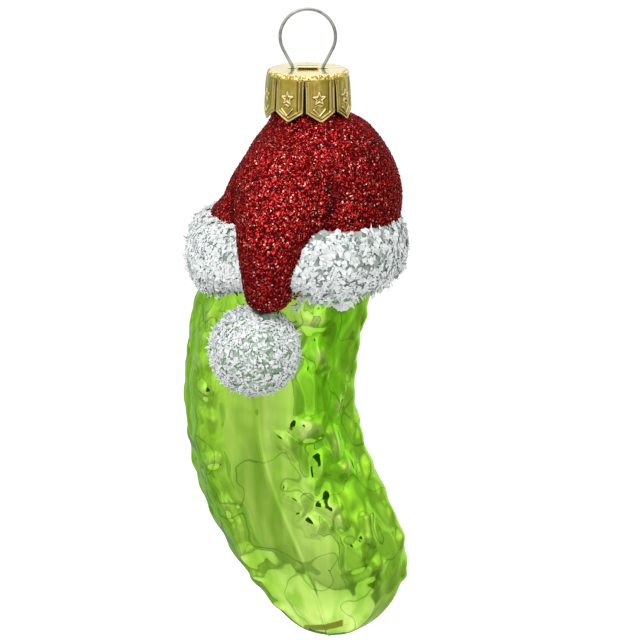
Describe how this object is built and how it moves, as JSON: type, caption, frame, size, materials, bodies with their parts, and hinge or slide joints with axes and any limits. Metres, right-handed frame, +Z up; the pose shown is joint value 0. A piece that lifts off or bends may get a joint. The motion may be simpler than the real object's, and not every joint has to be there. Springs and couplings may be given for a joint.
{
  "type": "pickle ornament",
  "caption": "Blown-glass pickle ornament in a santa hat, with glitter and flake coats, a pressed petal cap that lifts off its neck and a spring-wire hanging loop that tilts.",
  "frame": {"origin": "inside the top of the wire loop, where a hook bears", "axes": "+Z up along the hanging ornament, -Y towards the front with the hat's tail and pompom, +X to the right seen from the front"},
  "size_m": [0.0416, 0.0435, 0.118],
  "materials": {
    "green_glass": "silvered inside and lacquered a clear yellow-green",
    "red_glitter": "fine red glitter glued on",
    "white_flakes": "coarse white flakes glued on",
    "gold_metal": "bright pressed sheet, pale gold",
    "steel_wire": "bright drawn spring wire"
  },
  "bodies": {
    "glass": {"glass_body": "green_glass", "hat_glitter_coat": "red_glitter", "brim_flake_coat": "white_flakes", "pompom_flake_coat": "white_flakes"},
    "cap": {"ornament_cap": "gold_metal"},
    "hanger": {"hanger_wire": "steel_wire"}
  },
  "joints": [
    {"name": "cap_pull", "type": "slide", "parent": "glass", "child": "cap", "axis": [0, 0, 1], "range_m": [0, 0.018]},
    {"name": "hanger_swing", "type": "hinge", "parent": "cap", "child": "hanger", "pos_m": [0, 0, -0.01073], "axis": [1, 0, 0], "range_deg": [-15, 15]}
  ]
}
